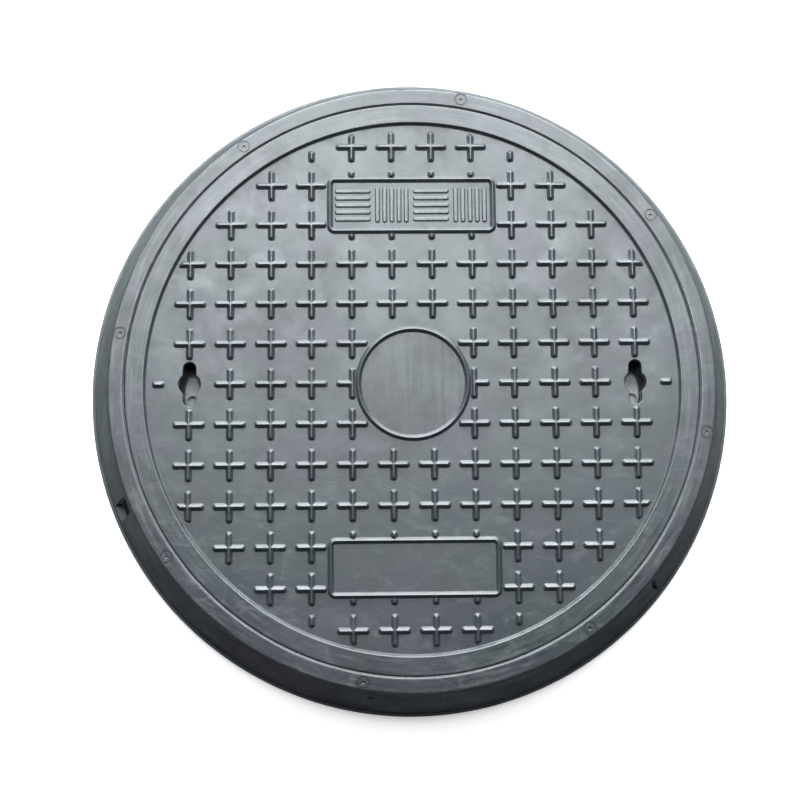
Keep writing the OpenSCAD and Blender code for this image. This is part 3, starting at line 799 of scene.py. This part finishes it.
# Moulded composite: cloudy base with green and violet tints, pale scuffs and worn edges; the grime
# colour also serves as painted shade, and the frame's wall colour is painted light
coverPaint = {"deep": (0.015, 0.019, 0.023), "light": (0.044, 0.053, 0.062),
              "green": (0.028, 0.045, 0.041), "violet": (0.038, 0.036, 0.056),
              "worn": (0.05, 0.056, 0.062), "dust": (0.11, 0.12, 0.12),
              "grimeAndShade": (0.003, 0.004, 0.005), "stain": (0.010, 0.013, 0.017),
              "roughness": 0.28, "scuffs": 0.26, "streaks": 1.0}
framePaint = {"deep": (0.011, 0.013, 0.020), "light": (0.031, 0.037, 0.049),
              "green": (0.020, 0.032, 0.030), "violet": (0.027, 0.026, 0.040),
              "worn": (0.09, 0.10, 0.11), "dust": (0.12, 0.13, 0.12),
              "grimeAndShade": (0.004, 0.005, 0.006),
              "wall": (0.095, 0.110, 0.108), "roughness": 0.28, "scuffs": 0.35, "streaks": 0.0}


def compositePaint(name, look):
    p = Paint(name)
    wear, dirtAndShade = p.attribute("wear"), p.attribute("dirtAndShade")
    broad = p.clouds(0.16, 4, 0.6).between(0.32, 0.68)
    patchy = p.clouds(0.045, 5, 0.6, p.moved((3.1, 1.7, 0.4)), 0.6).between(0.35, 0.7)
    mottle = p.clouds(0.012, 4, 0.65).between(0.35, 0.65)
    tone = broad * 0.5 + patchy * 0.35 + mottle * 0.15
    colour = p.blend(tone, look["deep"], look["light"])
    x, y = (p.wire("ShaderNodeSeparateXYZ", {}, [p.place], k) for k in (0, 1))
    reach = (x * x + y * y) ** 0.5
    around = p.wire("ShaderNodeMath", {"operation": "ARCTAN2"}, [y, x]).math("ABSOLUTE")
    along = p.wire("ShaderNodeCombineXYZ", {}, [around * 0.03, reach, 0.0])
    onRim = reach.between(0.327, 0.331)
    rings = p.clouds(0.005, 5, 0.62, along) * onRim  # streaks round the rim
    colour = p.blend(rings.between(0.50, 0.70) * 0.55, colour, look["dust"])
    colour = p.blend((1 - rings).between(0.52, 0.64) * onRim * 0.6, colour, look["grimeAndShade"])
    colour = p.blend(p.clouds(0.11, 3, 0.5, p.moved((5, 2, 1))).between(0.48, 0.68) * 0.6,
                     colour, look["green"])
    colour = p.blend(p.clouds(0.13, 3, 0.5, p.moved((1, 7, 3))).between(0.48, 0.68) * 0.6,
                     colour, look["violet"])
    scuffs = (p.scratches(0.003, 9, 97, 0.60, 0.74) + p.scratches(0.002, 24, 62, 0.64, 0.76)
              + p.scratches(0.004, 8, 84, 0.62, 0.76)) * p.clouds(0.07, 2).between(0.45, 0.66)
    smears = p.clouds(0.034, 6, 0.7, p.moved((0, 4, 2), scale=(0.7, 1, 1)), 1.2)
    smears = smears.between(0.50, 0.70)
    colour = p.blend((scuffs * look["scuffs"] + smears * 0.30).math("MINIMUM", 1.0),
                     colour, look["dust"])
    if look["streaks"]:  # drawn-out stains inside the medallion
        inside = 1 - reach.between(0.061, 0.064)
        stains = p.clouds(0.009, 3, 0.6, p.moved(scale=(1, 0.08, 1)), 0.3).between(0.42, 0.62)
        colour = p.blend(inside * stains * 0.85, colour, look["stain"])
    if "wall" in look:  # painted light: pale, patchy colour on the leaning wall, full on its west and east sides, fading out towards the south and weaker to the north, where the bright floor would light the wall
        paintedWallLightMask = (reach.between(0.3712, 0.3735) * y.between(-0.34, -0.06)
                  * (1 - y.between(0.14, 0.34) * 0.75))
        colour = p.blend(paintedWallLightMask * (0.55 + patchy * 0.45), colour, look["wall"])
    pits = p.wire("ShaderNodeTexVoronoi", {}, {"Vector": p.place, "Scale": 260.0}, "Distance")
    specks = (1 - pits.between(0.10, 0.2)) * p.clouds(0.02, 2).between(0.5, 0.62)
    colour = p.blend(specks * 0.5, colour, look["grimeAndShade"])
    worn = (wear * (0.35 + p.clouds(0.006, 4, 0.65).between(0.3, 0.65) * 0.65)).between(0.1, 0.9)
    colour = p.blend(worn * 0.62, colour, look["worn"])
    # dirt and painted shade: the near-black grime colour laid on wherever the dirt attribute is
    # high, in fillets, keyhole walls and the gap behind the cover
    grimeAndShade = dirtAndShade * (0.45 + p.clouds(0.015, 4, 0.6).between(0.35, 0.65) * 0.55)
    colour = p.blend(grimeAndShade * 0.55, colour, look["grimeAndShade"])
    rough = (look["roughness"] + (1 - tone) * 0.20 + scuffs * 0.15 + smears * 0.12 - worn * 0.06
             + grimeAndShade * 0.2)
    coarse = p.clouds(0.05, 3, 0.5)
    fine = p.clouds(0.0012, 3, 0.6)
    grain = p.clouds(0.0045, 4, 0.6)
    normal = p.bump(coarse, 0.5, 0.0012)
    normal = p.bump(grain * 0.7 + fine * 0.3 - specks * 0.6 - scuffs * 0.25, 0.35, 0.00035, normal)
    p.set(Base_Color=colour, Roughness=rough.math("MINIMUM", 0.9), Normal=normal,
          Specular_IOR_Level=0.85)
    return p.material


# Metal or rubber: base and second colour in clouds, a third for spots of rust or dust
metals = {
    "lockIron": {"base": (0.07, 0.075, 0.085), "second": (0.13, 0.14, 0.15),
                 "spot": (0.16, 0.085, 0.04), "spots": 0.5, "metallic": 0.0, "roughness": 0.5,
                 "grain": 0.0025, "height": 0.0002},
    "driverIron": {"base": (0.30, 0.32, 0.34), "second": (0.46, 0.47, 0.48),
                   # the last pair on the next line gives the half sizes of the lit oval; outside
                   # it the driver is painted shade
                   "spot": (0.14, 0.14, 0.14), "spots": 0.35, "litOval": (0.0085, 0.023),
                   "metallic": 0.0, "roughness": 0.68,
                   "grain": 0.002, "height": 0.00025},
    "bronze": {"base": (0.45, 0.26, 0.10), "second": (0.60, 0.38, 0.16),
               "spot": (0.14, 0.10, 0.05), "spots": 0.3, "metallic": 1.0, "roughness": 0.32,
               "grain": 0.002, "height": 0.00005},
    "springSteel": {"base": (0.22, 0.22, 0.23), "second": (0.35, 0.35, 0.36),
                    "spot": (0.15, 0.08, 0.04), "spots": 0.3, "metallic": 1.0, "roughness": 0.3,
                    "grain": 0.001, "height": 0.00003},
    "zincSteel": {"base": (0.42, 0.43, 0.44), "second": (0.58, 0.59, 0.60),
                  "spot": (0.30, 0.28, 0.24), "spots": 0.35, "metallic": 1.0, "roughness": 0.34,
                  "grain": 0.003, "height": 0.00006},
    "steelBar": {"base": (0.20, 0.15, 0.12), "second": (0.32, 0.28, 0.25),
                 "spot": (0.18, 0.07, 0.03), "spots": 0.7, "metallic": 0.7, "roughness": 0.55,
                 "grain": 0.003, "height": 0.0002},
    "rubber": {"base": (0.014, 0.014, 0.016), "second": (0.03, 0.03, 0.032),
               "spot": (0.09, 0.09, 0.085), "spots": 0.35, "metallic": 0.0, "roughness": 0.62,
               "grain": 0.002, "height": 0.0001}}


def plainPaint(name):
    look = metals[name]
    p = Paint(name)
    tone = p.clouds(0.02, 5, 0.6).between(0.3, 0.7)
    spots = (p.clouds(look["grain"] * 6, 5, 0.65, p.moved((2, 5, 1))).between(0.54, 0.7)
             * look["spots"])
    colour = p.blend(tone, look["base"], look["second"])
    colour = p.blend(spots, colour, look["spot"])
    if "litOval" in look:  # painted shade: near black outside an oval south of the lock's axis, the shade the pit walls cast on the driver
        x, y = (p.wire("ShaderNodeSeparateXYZ", {}, [p.place], k) for k in (0, 1))
        off = (x.math("ABSOLUTE") - tread["keyX"] * mm) * (1 / look["litOval"][0])
        along = (y + 0.010) * (1 / look["litOval"][1])
        colour = p.blend((off * off + along * along).between(0.7, 1.5), colour,
                         (0.012, 0.012, 0.014))
    grain = p.clouds(look["grain"], 4, 0.6)
    p.set(Base_Color=colour, Metallic=(1 - spots) * look["metallic"],
          Roughness=(look["roughness"] + spots * 0.3 + (grain - 0.5) * 0.2),
          Normal=p.bump(grain, 0.5, look["height"]))
    return p.material


paints = {"cover_composite": compositePaint("coverComposite", coverPaint),
          "frame_composite": compositePaint("frameComposite", framePaint)}
for slotName, paintName in (("steel_bar", "steelBar"), ("gasket_rubber", "rubber"),
                            ("lock_iron", "lockIron"), ("driver_iron", "driverIron"),
                            ("bush_bronze", "bronze"), ("spring_steel", "springSteel"),
                            ("zinc_steel", "zincSteel")):
    paints[slotName] = plainPaint(paintName)


def dress(piece, paint):
    piece.data.materials.clear()
    piece.data.materials.append(paint)
    count = len(piece.data.polygons)
    piece.data.polygons.foreach_set("material_index", np.zeros(count, dtype=np.int32))


slotOf = {row["node"]: row["material_slot"] for row in frame["record"]["subparts"]}
rounding = {"lock_driver": 0.5, "lock_cup": 0.6, "lock_tongue": 0.6, "tongue_nut": 0.4,
            "cup_screws": 0.25, "tongue_washer": 0.25}
for name, piece in frame["nodes"].items():
    dress(piece, paints[slotOf[name]])
    width = rounding.get(name.split("_", 1)[1])
    if width:
        weld = piece.modifiers.new("weld", "WELD")
        weld.merge_threshold = 1e-5
        bevel = piece.modifiers.new("bevel", "BEVEL")
        bevel.width, bevel.segments, bevel.limit_method = width * mm, 2, "ANGLE"
        bevel.angle_limit = math.radians(40)
        bevel.use_clamp_overlap = True
        bevel.harden_normals = True
dress(coverSkin, paints["cover_composite"])
dress(frameSkin, paints["frame_composite"])
dress(gasketSkin, paints["gasket_rubber"])
for spring in springs:
    dress(spring, paints["spring_steel"])
print("materials done")

# Floor, studio lights and camera
stageLook = {"floorSize": 60.0, "floorColour": (0.95, 0.95, 0.95), "floorGlow": 0.7,
             "world": 0.07, "worldColour": (0.80, 0.86, 1.0), "lampColour": (0.92, 0.98, 1.0),
             "lamps": {
                 "north": {"at": (0.0, 1.75, 2.1), "size": (3.6, 2.2), "watts": 175.0},
                 "low": {"at": (0.0, 2.9, 0.80), "size": (5.0, 1.5), "watts": 330.0},
                 "patchWest": {"at": (-0.50, 0.70, 3.0), "size": (0.26, 0.80), "watts": 24.0},
                 "patchEast": {"at": (0.72, 0.62, 3.0), "size": (0.24, 0.45), "watts": 17.0}}}


def makeStage():
    half = stageLook["floorSize"] / 2
    mesh = bpy.data.meshes.new("floor")
    mesh.from_pydata([(-half, -half, -0.0005), (half, -half, -0.0005), (half, half, -0.0005),
                      (-half, half, -0.0005)], [], [(0, 1, 2, 3)])
    floor = bpy.data.objects.new("floor", mesh)
    bpy.context.scene.collection.objects.link(floor)
    p = Paint("floorPaint")
    x, y = (p.wire("ShaderNodeSeparateXYZ", {}, [p.place], k) for k in (0, 1))
    clear = (x * x + y * y).between(0.395 ** 2, 0.425 ** 2)  # no glow under the frame
    p.set(Base_Color=(*stageLook["floorColour"], 1.0), Roughness=0.9, Specular_IOR_Level=0.1,
          Emission_Color=p.blend(clear, (0.0, 0.0, 0.0), (1.0, 1.0, 1.0)),
          Emission_Strength=stageLook["floorGlow"])
    mesh.materials.append(p.material)
    floor.visible_glossy = False  # its mirror image would grey the flanks that face it
    world = bpy.data.worlds.new("studio")
    world.use_nodes = True
    back = world.node_tree.nodes["Background"]
    back.inputs[0].default_value = (*stageLook["worldColour"], 1.0)
    back.inputs[1].default_value = stageLook["world"]
    bpy.context.scene.world = world
    for name, g in stageLook["lamps"].items():
        light = bpy.data.lights.new(name, "AREA")
        light.shape, light.size, light.size_y = "RECTANGLE", *g["size"]
        light.energy, light.color = g["watts"], stageLook["lampColour"]
        lamp = bpy.data.objects.new(name, light)
        lamp.location = g["at"]
        lamp.visible_diffuse = not name.startswith("patch")  # patches only show as sheen
        lamp.rotation_mode = "QUATERNION"
        lamp.rotation_quaternion = (Vector((0, 0, 0)) - Vector(g["at"])).to_track_quat("-Z", "Y")
        bpy.context.scene.collection.objects.link(lamp)


makeStage()
cameraLook = {"at": (-0.0431, -0.1780, 1.4900), "pitch": 0.1124, "yaw": -0.0191,
              "roll": -0.0067, "lens": 1152.2 / 800 * 36}
lens = bpy.data.cameras.new("camera")
lens.lens, lens.sensor_width = cameraLook["lens"], 36.0
camera = bpy.data.objects.new("camera", lens)
camera.rotation_mode = "XYZ"
camera.location = cameraLook["at"]
turn = (Euler((cameraLook["pitch"], 0, 0)).to_matrix()
        @ Euler((0, cameraLook["yaw"], 0)).to_matrix()
        @ Euler((0, 0, cameraLook["roll"])).to_matrix())
camera.rotation_euler = turn.to_euler("XYZ")
bpy.context.scene.collection.objects.link(camera)
bpy.context.scene.camera = camera
bpy.context.scene.view_settings.view_transform = "Standard"
bpy.context.view_layer.update()
